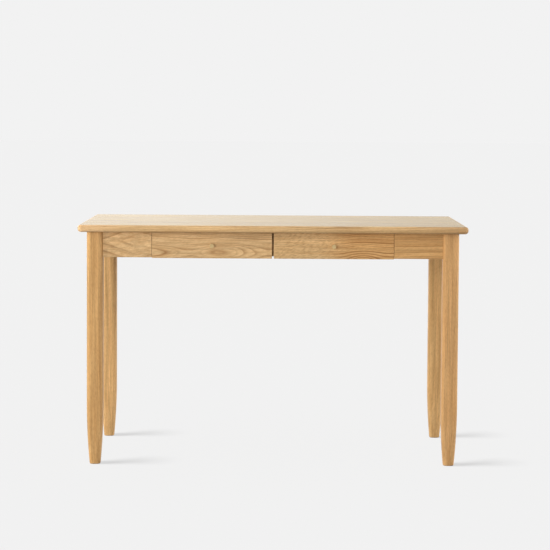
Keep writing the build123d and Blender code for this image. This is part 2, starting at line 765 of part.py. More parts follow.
def save_drawer(side, knob_solid):
    x = side * DRAWER_X
    name = f"{SIDE_NAMES[side]}_drawer"
    front_holes = [
        (flat_head_hole(*FRONT_SCREW), front_screw_places(x)),
        (knob_screw_hole(), [knob_screw_place(x)]),
    ]
    save(drawer_front(x), f"{name}_front")
    box_front = drawer_box_end(x, (BOX_FRONT_Y, BOX_FRONT_INNER_Y), FRONT_TAILS, front_holes)
    save(box_front, f"{name}_box_front")
    save(drawer_box_end(x, (BOX_REAR_INNER_Y, BOX_REAR_Y), REAR_TAILS, []), f"{name}_back")
    for wall in (LEFT, RIGHT):
        save(drawer_side(x, wall), f"{name}_{SIDE_NAMES[wall]}_side")
    save(drawer_bottom(x), f"{name}_bottom")
    save_group(flat_head_screw(*FRONT_SCREW), front_screw_places(x), f"{name}_front_screws")
    save_group(knob_solid, [facing((x, -APRON_Y, KNOB_Z), (0, -1, 0))], f"{name}_knob")
    save_group(pan_head_screw(*KNOB_SCREW), [knob_screw_place(x)], f"{name}_knob_screw")


def save_frame():
    blank = leg_blank()
    save(tabletop(), "tabletop")
    for side, end in CORNERS:
        corner = f"{END_NAMES[end]}_{SIDE_NAMES[side]}"
        save(leg(blank, side, end), f"{corner}_leg")
        save(corner_block(side, end), f"{corner}_corner_block")
    save(rear_apron(), "rear_apron")
    save(front_rail(), "front_rail")
    for side in (LEFT, RIGHT):
        save(side_apron(side), f"{SIDE_NAMES[side]}_side_apron")
        save(front_apron(side), f"{SIDE_NAMES[side]}_front_apron")
        guide = guide_board(side * GUIDE_X, GUIDE_THICKNESS, [(side * GUIDE_FACE_X, -side)])
        save(guide, f"{SIDE_NAMES[side]}_drawer_guide")
        save(drawer_stop(side), f"{SIDE_NAMES[side]}_drawer_stop")
    partition_faces = [(side * PARTITION_THICKNESS / 2, side) for side in (LEFT, RIGHT)]
    save(guide_board(0, PARTITION_THICKNESS, partition_faces), "centre_partition")
    for side, which, face_x, out in RUNNERS:
        save(runner(face_x, out), f"{SIDE_NAMES[side]}_drawer_{which}_runner")


def save_fixings():
    runner_places = [
        place for _, _, face_x, out in RUNNERS for place in runner_screw_places(face_x, out)
    ]
    guide_places = [place for x in GUIDE_XS for place in guide_screw_places(x)]
    dowels = [place for x in GUIDE_XS for place in dowel_places(x)]
    block_places = [
        place(side, end) for side, end in CORNERS for place in (side_block_screw, end_block_screw)
    ]
    save_group(flat_head_screw(*RUNNER_SCREW), runner_places, "runner_screws")
    save_group(flat_head_screw(*GUIDE_SCREW), guide_places, "guide_screws")
    save_group(DOWEL, dowels, "guide_dowels")
    save_group(pan_head_screw(*BLOCK_SCREW), block_places, "corner_block_screws")
    save_group(clip(), CLIP_PLACES, "tabletop_clips")
    save_group(pan_head_screw(*CLIP_SCREW), CLIP_SCREW_PLACES, "tabletop_clip_screws")
    save_group(flat_head_screw(*RAIL_SCREW), RAIL_SCREW_PLACES, "tabletop_rail_screws")
    save_group(flat_head_screw(*STOP_SCREW), STOP_SCREW_PLACES.values(), "drawer_stop_screws")


os.makedirs("parts", exist_ok=True)
save_frame()
save_fixings()
knob_blank = knob()
for drawer_place in (LEFT, RIGHT):
    save_drawer(drawer_place, knob_blank)
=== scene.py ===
import math

import bpy
from mathutils import Matrix, Vector


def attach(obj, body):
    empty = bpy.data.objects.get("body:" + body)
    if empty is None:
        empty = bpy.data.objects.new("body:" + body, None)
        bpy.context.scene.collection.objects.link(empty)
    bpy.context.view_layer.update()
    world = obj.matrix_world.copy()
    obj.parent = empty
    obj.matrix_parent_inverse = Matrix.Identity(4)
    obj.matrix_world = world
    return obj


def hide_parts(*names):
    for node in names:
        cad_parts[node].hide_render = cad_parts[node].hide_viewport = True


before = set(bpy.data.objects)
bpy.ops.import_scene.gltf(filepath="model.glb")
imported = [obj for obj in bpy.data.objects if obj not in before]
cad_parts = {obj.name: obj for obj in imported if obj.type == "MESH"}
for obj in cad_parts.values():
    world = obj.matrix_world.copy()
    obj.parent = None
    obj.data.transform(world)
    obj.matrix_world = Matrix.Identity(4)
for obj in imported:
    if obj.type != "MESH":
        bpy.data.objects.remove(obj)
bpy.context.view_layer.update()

# A writing desk in pale oak with two drawers. Metres; X to the sitter's right, Y to the rear, Z up.

MM = 0.001
SIDES = {"left": -1, "right": 1}
ENDS = {"front": -1, "rear": 1}


def mm(*lengths):
    """Lengths written in millimetres, as metres."""
    return tuple(length * MM for length in lengths)


def in_metres(sizes):
    """Named lengths written in millimetres, as metres."""
    return {name: length * MM for name, length in sizes.items()}


# Nodes: the same helpers lay out materials and geometry trees


def feed(tree, socket, value):
    """Gives an input a plain value, or links it to another node's output."""
    if isinstance(value, bpy.types.NodeSocket):
        tree.links.new(value, socket)
    else:
        socket.default_value = value


def put(tree, kind, inputs=None, **settings):
    """Adds a node, with its settings and its inputs by name or number."""
    made = tree.nodes.new(kind)
    for name, value in settings.items():
        setattr(made, name, value)
    for key, value in (inputs or {}).items():
        feed(tree, made.inputs[key], value)
    return made


def maths(tree, operation, *values):
    made = put(tree, "ShaderNodeMath", dict(enumerate(values)), operation=operation)
    return made.outputs[0]


def vectors(tree, operation, *values):
    made = put(tree, "ShaderNodeVectorMath", dict(enumerate(values)), operation=operation)
    return made.outputs["Value" if operation in ("LENGTH", "DOT_PRODUCT") else "Vector"]


def scaled(tree, vector, factor):
    made = put(tree, "ShaderNodeVectorMath", {0: vector, "Scale": factor}, operation="SCALE")
    return made.outputs["Vector"]


def combined(tree, x, y, z):
    return put(tree, "ShaderNodeCombineXYZ", {"X": x, "Y": y, "Z": z}).outputs[0]


def separated(tree, vector):
    return put(tree, "ShaderNodeSeparateXYZ", {0: vector}).outputs


def between(tree, value, low, high, out_low=0.0, out_high=1.0):
    """Stretches the values from low to high over the range from out_low to out_high."""
    limits = {0: value, 1: low, 2: high, 3: out_low, 4: out_high}
    return put(tree, "ShaderNodeMapRange", limits, interpolation_type="SMOOTHSTEP").outputs[0]


def noise(tree, vector, detail=2.0, roughness=0.5):
    inputs = {"Vector": vector, "Scale": 1.0, "Detail": detail, "Roughness": roughness}
    return put(tree, "ShaderNodeTexNoise", inputs)


def noise_on_line(tree, value):
    inputs = {"W": value, "Scale": 1.0, "Detail": 1.0}
    return put(tree, "ShaderNodeTexNoise", inputs, noise_dimensions="1D").outputs[0]


def lot(tree, number):
    """A random draw, the same each time for one number."""
    return put(tree, "ShaderNodeTexWhiteNoise", {"W": number}, noise_dimensions="1D").outputs


def blended(tree, factor, first, second):
    made = put(tree, "ShaderNodeMix", {0: factor, 6: first, 7: second}, data_type="RGBA")
    return made.outputs[2]


def ramp(tree, value, stops):
    """A grey ramp: each stop is a place from 0 to 1 and its level."""
    made = put(tree, "ShaderNodeValToRGB", {0: value})
    elements = made.color_ramp.elements
    while len(elements) < len(stops):
        elements.new(1.0)
    for element, (place, level) in zip(elements, stops):
        element.position = place
        element.color = (level, level, level, 1.0)
    return made.outputs[0]


def srgb(red, green, blue):
    """A colour as a screen shows it, 0 to 255, as the linear colour that the shaders take."""

    def linear(level):
        level /= 255
        return level / 12.92 if level <= 0.04045 else ((level + 0.055) / 1.055) ** 2.4

    return (linear(red), linear(green), linear(blue), 1.0)


def new_material(name):
    """A material with its shader, and the node tree to lay its pattern out in."""
    made = bpy.data.materials.new(name)
    made.use_nodes = True
    return made, made.node_tree, made.node_tree.nodes["Principled BSDF"]


def object_place(tree):
    return put(tree, "ShaderNodeTexCoord").outputs["Object"]


def emboss(tree, shader, height, strength, distance):
    """Gives a finish its shallow relief."""
    relief = {"Strength": strength, "Distance": distance, "Height": height}
    feed(tree, shader.inputs["Normal"], put(tree, "ShaderNodeBump", relief).outputs[0])


# Oak: growth rings about the heart of a log, seen wherever a board cuts through them

OAK_PALE = srgb(232, 194, 140)
OAK_TAN = srgb(210, 169, 116)
OAK_DARK = srgb(161, 114, 64)
PORE_BROWN = srgb(138, 96, 54)
NO_TINT = (1.0, 1.0, 1.0, 1.0)
COOL_LEFT = (1.03, 1.045, 1.09, 1.0)
WARM_RIGHT = (0.955, 0.845, 0.7, 1.0)
# Painted sheen: only the tabletop's upper face takes this tint, in place of the pale sheen it shows when
# seen low along it
PAINTED_SHEEN_TINT = (0.93, 1.04, 0.96, 1.0)
# Painted light on the tabletop's edges towards the left end, where the light comes from, and painted shade
# towards the right end
PAINTED_LIGHT_LEFT_END = (1.17, 1.17, 1.27, 1.0)
PAINTED_SHADE_RIGHT_END = (0.76, 0.71, 0.68, 1.0)
# Each leg's tint holds the legs' own more orange tone, and painted light: the rear left leg painted lighter
# and the front left leg painted darker, in place of how the light falls on each
LEG_TONE_AND_PAINTED_LIGHT = {
    "front_left": (0.89, 0.795, 0.66, 1.0),
    "front_right": (0.97, 0.85, 0.735, 1.0),
    "rear_left": (1.13, 1.05, 0.93, 1.0),
    "rear_right": (1.0, 0.92, 0.8, 1.0),
}

# How close each pattern lies: its scale along the grain, and across it
STRETCH = {
    "sway": (2.2, 8.0),
    "ripple": (16.0, 70.0),
    "patches": (4.0, 16.0),
    "fibre": (5.0, 230.0),
    "fleck": (85.0, 400.0),
    "pores": (40.0, 1500.0),
    "tone": (1.6, 7.0),
    "streaks": (3.0, 120.0),
}
SEED_WAY = (1.7, 3.1, 5.3)
RIPPLE = 2.8 * MM
FLANK_SLOPE = 0.6
FLECK_SLOPE = 0.2
UNEVEN_PACE = 0.35
UNEVEN_SPREAD = 1.7
LINE_DEPTH = 0.85
PORE_DEPTH = 0.4
END_GRAIN_TONE = 0.8
OAK_ROUGHNESS = (0.44, 0.5)
PORE_ROUGHNESS = 0.16
LINE_RELIEF = 0.35

# One year's ring, by shares of its width: dark open wood at first, then close and pale
YEAR = [(0.0, 0.0), (0.14, 1.0), (0.32, 0.55), (0.62, 0.06), (1.0, 0.0)]


def solid_oak():
    """The wood of one board. The place runs along the log on X and across its heart on Y and Z."""
    tree = bpy.data.node_groups.new("solid_oak", "ShaderNodeTree")
    floats = {
        "Ring Width": 0.004,
        "Swell": 0.0,
        "Swell Length": 0.2,
        "Swell Skew": 0.0,
        "Swell Pinch": 0.0,
        "Point": 0.0,
        "Ring Start": 0.0,
        "Figure": 1.0,
        "Figure From": -9.0,
        "Figure To": -8.0,
        "Fleck": 0.3,
        "Sway": 0.006,
        "Polish": 0.0,
        "Seed": 0.0,
    }
    tree.interface.new_socket("Place", in_out="INPUT", socket_type="NodeSocketVector")
    tree.interface.new_socket("Grain", in_out="INPUT", socket_type="NodeSocketVector")
    for name, value in floats.items():
        socket = tree.interface.new_socket(name, in_out="INPUT", socket_type="NodeSocketFloat")
        socket.default_value = value
    for name in ("Pale", "Tan", "Dark", "Tint and Painted Light"):
        tree.interface.new_socket(name, in_out="INPUT", socket_type="NodeSocketColor")
    tree.interface.new_socket("Colour", in_out="OUTPUT", socket_type="NodeSocketColor")
    for name in ("Roughness", "Height"):
        tree.interface.new_socket(name, in_out="OUTPUT", socket_type="NodeSocketFloat")
    given = put(tree, "NodeGroupInput").outputs
    place = given["Place"]
    seed = given["Seed"]
    shift = scaled(tree, combined(tree, *SEED_WAY), seed)

    def stretched(pattern, spot=place):
        """The place in a noise that is drawn out along the grain."""
        along, across = STRETCH[pattern]
        return vectors(tree, "MULTIPLY_ADD", spot, (along, across, across), shift)

    def astray(pattern):
        """A push off the place, either way."""
        push = noise(tree, stretched(pattern)).outputs["Color"]
        return vectors(tree, "SUBTRACT", push, (0.5, 0.5, 0.5))

    sway = scaled(tree, astray("sway"), maths(tree, "MULTIPLY", given["Sway"], 2.0))
    ripple = scaled(tree, astray("ripple"), RIPPLE)
    bent = vectors(tree, "ADD", vectors(tree, "ADD", place, sway), ripple)
    along, deep, across = separated(tree, bent)

    turn = maths(tree, "DIVIDE", along, given["Swell Length"])
    turn = maths(tree, "MULTIPLY", turn, math.tau)
    phase = maths(tree, "MULTIPLY_ADD", maths(tree, "COSINE", turn), given["Swell Skew"], turn)
    phase = maths(tree, "MULTIPLY_ADD", maths(tree, "SINE", turn), given["Swell Pinch"], phase)
    swell = maths(tree, "COSINE", phase)
    deep = maths(tree, "MULTIPLY_ADD", swell, given["Swell"], deep)
    round_ring = vectors(tree, "LENGTH", combined(tree, 0.0, deep, across))
    flank = maths(tree, "MULTIPLY", maths(tree, "ABSOLUTE", across), FLANK_SLOPE)
    pointed_ring = maths(tree, "ADD", maths(tree, "ABSOLUTE", deep), flank)
    radius = put(tree, "ShaderNodeMix", {0: given["Point"], 2: round_ring, 3: pointed_ring}).outputs[0]
    count = maths(tree, "ADD", maths(tree, "DIVIDE", radius, given["Ring Width"]), given["Ring Start"])
    uneven = noise_on_line(tree, maths(tree, "MULTIPLY_ADD", count, UNEVEN_PACE, seed))
    count = maths(tree, "MULTIPLY_ADD", uneven, UNEVEN_SPREAD, count)
    ring = maths(tree, "FLOOR", count)
    part = maths(tree, "FRACT", count)

    lengthwise = separated(tree, place)[0]
    early = ramp(tree, part, YEAR)
    year = lot(tree, maths(tree, "ADD", ring, seed))["Value"]
    strength = between(tree, year, 0.0, 1.0, 0.3, 1.0)
    patches = between(tree, noise(tree, stretched("patches")).outputs[0], 0.3, 0.62, 0.35, 1.0)
    grown = between(tree, lengthwise, given["Figure From"], given["Figure To"])
    line = maths(tree, "MULTIPLY", maths(tree, "MULTIPLY", early, strength), patches)
    line = maths(tree, "MULTIPLY", line, between(tree, grown, 0.0, 1.0, 0.15, 1.0))
    line = maths(tree, "MULTIPLY", line, given["Figure"])

    fibre = between(tree, noise(tree, stretched("fibre"), 3.0, 0.6).outputs[0], 0.32, 0.68)
    slant = maths(tree, "MULTIPLY", lengthwise, -FLECK_SLOPE)
    slanting = vectors(tree, "ADD", place, combined(tree, 0.0, 0.0, slant))
    fleck = between(tree, noise(tree, stretched("fleck", slanting), 1.0).outputs[0], 0.44, 0.64)
    fleck = maths(tree, "MULTIPLY", fleck, between(tree, grown, 0.0, 1.0, given["Fleck"], 0.2))
    pores = between(tree, noise(tree, stretched("pores"), 1.0).outputs[0], 0.55, 0.7)
    pores = maths(tree, "MULTIPLY", pores, between(tree, early, 0.0, 1.0, 0.3, 1.0))
    tone = between(tree, noise(tree, stretched("tone")).outputs[0], 0.25, 0.75, 0.93, 1.06)
    streaks = between(tree, noise(tree, stretched("streaks")).outputs[0], 0.3, 0.7, 0.9, 1.09)
    tone = maths(tree, "MULTIPLY", tone, streaks)

    colour = blended(tree, fibre, given["Pale"], given["Tan"])
    colour = blended(tree, maths(tree, "MULTIPLY", line, LINE_DEPTH), colour, given["Dark"])
    colour = blended(tree, fleck, colour, given["Dark"])
    colour = blended(tree, maths(tree, "MULTIPLY", pores, PORE_DEPTH), colour, PORE_BROWN)
    facing = put(tree, "ShaderNodeNewGeometry").outputs["Normal"]
    cut_end = maths(tree, "ABSOLUTE", vectors(tree, "DOT_PRODUCT", facing, given["Grain"]))
    cut_end = between(tree, cut_end, 0.75, 0.98)
    tone = maths(tree, "MULTIPLY", tone, between(tree, cut_end, 0.0, 1.0, 1.0, END_GRAIN_TONE))
    # The tint gives a board its tone; on the tabletop and the legs it also carries painted light, painted
    # shade and painted sheen
    tint_and_painted_light = blended(tree, grown, NO_TINT, given["Tint and Painted Light"])
    colour = vectors(tree, "MULTIPLY", scaled(tree, colour, tone), tint_and_painted_light)
    roughness = between(tree, fibre, 0.0, 1.0, *OAK_ROUGHNESS)
    roughness = maths(tree, "MULTIPLY_ADD", pores, PORE_ROUGHNESS, roughness)
    roughness = maths(tree, "SUBTRACT", roughness, given["Polish"])
    height = maths(tree, "MULTIPLY_ADD", line, LINE_RELIEF, pores)
    put(
        tree,
        "NodeGroupOutput",
        {"Colour": colour, "Roughness": roughness, "Height": maths(tree, "MULTIPLY", height, -1.0)},
    )
    return tree


SOLID_OAK = solid_oak()


def dress_in_oak(tree, shader, place, grain, **figure):
    """Puts the pattern of a board into a material, with a shallow open grain."""
    wood = put(tree, "ShaderNodeGroup", node_tree=SOLID_OAK)
    figure = {"Pale": OAK_PALE, "Tan": OAK_TAN, "Dark": OAK_DARK, "Tint and Painted Light": NO_TINT, **figure}
    for key, value in {"Place": place, "Grain": grain, **figure}.items():
        feed(tree, wood.inputs[key], value)
    feed(tree, shader.inputs["Base Color"], wood.outputs["Colour"])
    feed(tree, shader.inputs["Roughness"], wood.outputs["Roughness"])
    emboss(tree, shader, wood.outputs["Height"], strength=0.35, distance=0.2 * MM)


GRAIN_ACROSS = (1.0, 0.0, 0.0)
GRAIN_REARWARD = (0.0, 1.0, 0.0)
GRAIN_UPRIGHT = (0.0, 0.0, 1.0)


def oak_board(name, grain, heart, lean=(0.0, 0.0, 0.0), **figure):
    """A board whose log has its heart at a point in millimetres, and leans a little off the grain's way."""
    made, tree, shader = new_material(name)
    run = Vector(grain) + Vector(lean)
    up = "Y" if grain == GRAIN_UPRIGHT else "Z"
    turned = run.to_track_quat("X", up).to_euler()
    inputs = {"Vector": object_place(tree), "Location": mm(*heart), "Rotation": turned}
    log = put(tree, "ShaderNodeMapping", inputs, vector_type="TEXTURE").outputs[0]
    dress_in_oak(tree, shader, log, grain, **figure)
    return made


# The tabletop's staves, each cut from a log of its own, whose heart lies above the top. In metres
STAVE_WIDTH = 0.086
STAVE_LOT = 11.5
STAVE_SEED = 3.7
STAVE_LOGS = 7.0
HEART_ASIDE = 0.06
HEART_HIGHER = 0.05
STAVE_LEAN = 0.03
TOP_HEART = 0.79
# The painted light and shade of the top's edges are full at its ends and fade out 0.4 m from the middle
TOP_END = 0.6
TOP_END_TINT = 0.4
TOP_POLISH = 0.28


def oak_top_of_staves():
    """The tabletop: staves glued edge to edge, its upper face rubbed smoother than its edges and tinted with
    a painted sheen, its edges painted lighter towards the left end and darker towards the right end.
    """
    made, tree, shader = new_material("oiled_oak_top")
    x, y, z = separated(tree, object_place(tree))
    stave = maths(tree, "FLOOR", maths(tree, "DIVIDE", y, STAVE_WIDTH))
    drawn = lot(tree, maths(tree, "ADD", stave, STAVE_LOT))["Color"]
    first, second, third = separated(tree, drawn)
    middle = maths(tree, "MULTIPLY", maths(tree, "ADD", stave, 0.5), STAVE_WIDTH)
    across = maths(tree, "SUBTRACT", y, middle)
    across = maths(tree, "ADD", across, between(tree, first, 0, 1, -HEART_ASIDE, HEART_ASIDE))
    deep = maths(tree, "SUBTRACT", z, TOP_HEART)
    deep = maths(tree, "ADD", deep, between(tree, second, 0, 1, -HEART_HIGHER, 0.0))
    lean = between(tree, third, 0, 1, -STAVE_LEAN, STAVE_LEAN)
    deep = maths(tree, "MULTIPLY_ADD", x, lean, deep)
    along = maths(tree, "MULTIPLY_ADD", third, STAVE_LOGS, x)
    log = combined(tree, along, deep, across)
    facing = separated(tree, put(tree, "ShaderNodeNewGeometry").outputs["Normal"])[2]
    upper = between(tree, facing, 0.97, 0.998)
    # Painted light and shade: the edges lighter towards the left end and darker towards the right end
    edge = blended(tree, between(tree, x, -TOP_END, -TOP_END_TINT), PAINTED_LIGHT_LEFT_END, NO_TINT)
    edge = blended(tree, between(tree, x, TOP_END_TINT, TOP_END), edge, PAINTED_SHADE_RIGHT_END)
    finish = {
        "Polish": maths(tree, "MULTIPLY", upper, TOP_POLISH),
        # The upper face takes the painted sheen tint, and the other faces take the painted light and shade
        # of the ends
        "Tint and Painted Light": blended(tree, upper, edge, PAINTED_SHEEN_TINT),
        "Seed": maths(tree, "MULTIPLY", stave, STAVE_SEED),
    }
    dress_in_oak(tree, shader, log, GRAIN_ACROSS, **finish)
    return made


# Other finishes

BOX_STREAKS = (5.0, 190.0)
BOX_PORES = (60.0, 1400.0)
BOX_CLOUDS = 9.0
METAL_PATCHES = 260.0
METAL_LINES = (900.0, 900.0, 5200.0)
RUBBED = 0.06


def drawer_wood(name, grain, pale, tan):
    """Close-grained pale wood of the drawer boxes and of the frame inside."""
    made, tree, shader = new_material(name)
    spot = object_place(tree)

    def drawn_out(scales, detail, roughness=0.5):
        """A noise with one scale along the grain, and another across it."""
        along, across = scales
        stretch = tuple(along if part else across for part in grain)
        return noise(tree, vectors(tree, "MULTIPLY", spot, stretch), detail, roughness).outputs[0]

    streaks = drawn_out(BOX_STREAKS, 3.0, 0.6)
    pores = drawn_out(BOX_PORES, 1.0)
    clouds = noise(tree, scaled(tree, spot, BOX_CLOUDS)).outputs[0]
    clouded = between(tree, clouds, 0.3, 0.7)
    streaked = between(tree, streaks, 0.3, 0.7, 0.0, 0.65)
    amount = maths(tree, "MULTIPLY_ADD", clouded, 0.35, streaked)
    feed(tree, shader.inputs["Base Color"], blended(tree, amount, pale, tan))
    feed(tree, shader.inputs["Roughness"], between(tree, streaks, 0.2, 0.8, 0.48, 0.58))
    emboss(tree, shader, pores, strength=0.2, distance=0.1 * MM)
    return made


def metal(name, dull, bright, roughness, scratch):
    """A metal with fine rubbed lines and a patchy polish."""
    made, tree, shader = new_material(name)
    spot = object_place(tree)
    patches = between(tree, noise(tree, scaled(tree, spot, METAL_PATCHES), 3.0).outputs[0], 0.3, 0.7)
    lines = noise(tree, vectors(tree, "MULTIPLY", spot, METAL_LINES), 2.0).outputs[0]
    rubbed = between(tree, lines, 0.25, 0.75, roughness - RUBBED, roughness + RUBBED)
    feed(tree, shader.inputs["Base Color"], blended(tree, patches, dull, bright))
    feed(tree, shader.inputs["Roughness"], rubbed)
    shader.inputs["Metallic"].default_value = 1.0
    emboss(tree, shader, lines, strength=scratch, distance=0.05 * MM)
    return made


# Pieces that follow a rule: the shaped legs and the screws

SHARP_ANGLE = math.radians(35.0)
LEG_LEVELS = 72
CORNER_STEPS = 12
SCREW_SEED = 5
THREAD_CORE = 0.72
THREADED_SHARE = 0.8
NECK_SHARE = 0.95
BLUNT_TIP = 0.08

# Length, width and depth of the cutters of a cross recess, by the head's radius
RECESS = (1.1, 0.24, 0.84)

# Cutters of the mortises start a little outside the wood
MOUTH = -1.0 * MM


def new_tree(name, lengths, **others):
    """A geometry tree with named inputs: lengths, and sockets of other kinds."""
    tree = bpy.data.node_groups.new(name, "GeometryNodeTree")
    kinds = {"Geometry": "Geometry", **{length: "Float" for length in lengths}, **others}
    for socket, kind in kinds.items():
        tree.interface.new_socket(socket, in_out="INPUT", socket_type=f"NodeSocket{kind}")
    tree.interface.new_socket("Geometry", in_out="OUTPUT", socket_type="NodeSocketGeometry")
    return tree, put(tree, "NodeGroupInput").outputs


def moved(tree, shape, place):
    return put(tree, "GeometryNodeSetPosition", {"Geometry": shape, "Position": place}).outputs[0]


def carried(tree, shape, way):
    return put(tree, "GeometryNodeTransform", {"Geometry": shape, "Translation": way}).outputs[0]


def cube(tree, x, y, z):
    return put(tree, "GeometryNodeMeshCube", {"Size": combined(tree, x, y, z)}).outputs[0]


def cut_away(tree, shape, *cutters):
    made = put(tree, "GeometryNodeMeshBoolean", {0: shape}, operation="DIFFERENCE", solver="EXACT")
    for cutter in cutters:
        tree.links.new(cutter, made.inputs[1])
    return made.outputs[0]


def joined(tree, *shapes):
    made = put(tree, "GeometryNodeJoinGeometry")
    for shape in shapes:
        tree.links.new(shape, made.inputs[0])
    return made.outputs[0]


def close_tree(tree, shape, material):
    """Ends a tree in plain faces of one finish."""
    plain = put(tree, "GeometryNodeRealizeInstances", {0: shape}).outputs[0]
    dressed = put(tree, "GeometryNodeSetMaterial", {"Geometry": plain, "Material": material}).outputs[0]
    put(tree, "NodeGroupOutput", {0: dressed})
    return tree


def grow(name, tree, start, body, slot, nodes, **values):
    """Runs a tree on a starting mesh and keeps the result as a plain piece in place of CAD nodes."""
    piece = bpy.data.objects.new(name, start)
    bpy.context.scene.collection.objects.link(piece)
    modifier = piece.modifiers.new(tree.name, "NODES")
    modifier.node_group = tree
    for socket in tree.interface.items_tree:
        if socket.name in values:
            modifier[socket.identifier] = values[socket.name]
    state = bpy.context.evaluated_depsgraph_get()
    grown = bpy.data.meshes.new_from_object(piece.evaluated_get(state), depsgraph=state)
    piece.modifiers.clear()
    for index in reversed(range(len(grown.materials))):
        if not grown.materials[index]:
            grown.materials.pop(index=index)
    grown.name = name
    grown.shade_smooth()
    grown.set_sharp_from_angle(angle=SHARP_ANGLE)
    piece.data = grown
    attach(piece, body)
    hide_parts(*nodes)
    return piece


def leg_tree():
    """A rounded square shaft, drawn in along an arc to a small round-edged foot, with its mortises."""
    lengths = ["Height", "Side", "Corner Radius", "Foot Side", "Foot Round", "Taper Height"]
    lengths += ["Tenon Thickness", "Tenon Depth", "Tenon Offset", "Tenon Bottom", "Tenon Top"]
    lengths += ["Tongue Length", "Tongue Root", "Tongue Tip", "Tongue Offset", "Tongue Bottom"]
    others = {"Place": "Vector", "Outward": "Vector", "Tongue": "Bool", "Wood": "Material"}
    tree, given = new_tree("shaped_leg", lengths, **others)
    spot = put(tree, "GeometryNodeInputPosition").outputs[0]
    parts = separated(tree, spot)
    x, z = parts["X"], parts["Z"]

    def halved(length):
        return maths(tree, "MULTIPLY", length, 0.5)

    def squared(length):
        return maths(tree, "MULTIPLY", length, length)

    def middle(low, high):
        return halved(maths(tree, "ADD", low, high))

    half = halved(given["Side"])
    flat = maths(tree, "SUBTRACT", half, given["Corner Radius"])

    upright = put(tree, "GeometryNodeCurvePrimitiveLine", {"End": (0.0, 0.0, 1.0)}).outputs[0]
    upright = put(tree, "GeometryNodeResampleCurve", {"Curve": upright, "Count": LEG_LEVELS}).outputs[0]
    level = maths(tree, "MULTIPLY", squared(z), given["Height"])
    upright = moved(tree, upright, combined(tree, 0.0, 0.0, level))
    outline = {"Width": given["Side"], "Height": given["Side"]}
    outline = put(tree, "GeometryNodeCurvePrimitiveQuadrilateral", outline).outputs[0]
    rounding = {"Curve": outline, "Radius": given["Corner Radius"], "Count": CORNER_STEPS}
    outline = put(tree, "GeometryNodeFilletCurve", rounding, mode="POLY").outputs[0]
    sweep = {"Curve": upright, "Profile Curve": outline, "Fill Caps": True}
    shaft = put(tree, "GeometryNodeCurveToMesh", sweep).outputs[0]

    def arc_below(top, radius):
        """How far an arc that leaves the upright at a height has drawn in, at each point below."""
        below = maths(tree, "MAXIMUM", maths(tree, "SUBTRACT", top, z), 0.0)
        left = maths(tree, "SUBTRACT", squared(radius), squared(below))
        return maths(tree, "SUBTRACT", radius, maths(tree, "SQRT", left))

    taper = given["Taper Height"]
    narrowing = halved(maths(tree, "SUBTRACT", given["Side"], given["Foot Side"]))
    reach = maths(tree, "DIVIDE", squared(taper), narrowing)
    drop = arc_below(taper, middle(reach, narrowing))
    tuck = arc_below(given["Foot Round"], given["Foot Round"])
    limit = combined(tree, flat, flat, 0.0)
    inner = vectors(tree, "MAXIMUM", vectors(tree, "MINIMUM", spot, limit), scaled(tree, limit, -1.0))
    corner = vectors(tree, "SUBTRACT", spot, inner)
    flat_share = maths(tree, "SUBTRACT", 1.0, maths(tree, "DIVIDE", drop, flat))
    corner_share = maths(tree, "SUBTRACT", 1.0, maths(tree, "DIVIDE", tuck, given["Corner Radius"]))
    shaped = vectors(tree, "ADD", scaled(tree, inner, flat_share), scaled(tree, corner, corner_share))
    drawn_in = separated(tree, shaped)
    shaft = moved(tree, shaft, combined(tree, drawn_in[0], drawn_in[1], z))

    def housing(shape, out_x, out_y, up):
        """Brings a cutter to its place on the leg, outward being the way to the desk's corner."""
        way = vectors(tree, "MULTIPLY", combined(tree, out_x, out_y, up), given["Outward"])
        return carried(tree, shape, way)

    thick = given["Tenon Thickness"]
    offset = given["Tenon Offset"]
    depth = maths(tree, "SUBTRACT", given["Tenon Depth"], MOUTH)
    inward = maths(tree, "SUBTRACT", middle(given["Tenon Depth"], MOUTH), half)
    height = maths(tree, "SUBTRACT", given["Tenon Top"], given["Tenon Bottom"])
    level = middle(given["Tenon Bottom"], given["Tenon Top"])
    side_mortise = housing(cube(tree, thick, depth, height), offset, inward, level)
    end_mortise = housing(cube(tree, depth, thick, height), inward, offset, level)

    tip, root = given["Tongue Tip"], given["Tongue Root"]
    outward = maths(tree, "MULTIPLY", x, separated(tree, given["Outward"])[0])
    flare = maths(tree, "SUBTRACT", tip, root)
    width = maths(tree, "MULTIPLY_ADD", outward, flare, middle(tip, root))
    rise = maths(tree, "SUBTRACT", maths(tree, "SUBTRACT", given["Height"], given["Tongue Bottom"]), MOUTH)
    size = combined(tree, given["Tongue Length"], width, rise)
    dovetail = moved(tree, cube(tree, 1.0, 1.0, 1.0), vectors(tree, "MULTIPLY", spot, size))
    level = maths(tree, "MULTIPLY_ADD", rise, 0.5, given["Tongue Bottom"])
    inward = maths(tree, "MULTIPLY_ADD", given["Tongue Length"], 0.5, maths(tree, "MULTIPLY", half, -1.0))
    dovetail = housing(dovetail, inward, given["Tongue Offset"], level)
    tongue = {"Switch": given["Tongue"], "True": dovetail}
    dovetail = put(tree, "GeometryNodeSwitch", tongue, input_type="GEOMETRY").outputs[0]

    shaft = cut_away(tree, shaft, side_mortise, end_mortise, dovetail)
    return close_tree(tree, carried(tree, shaft, given["Place"]), given["Wood"])


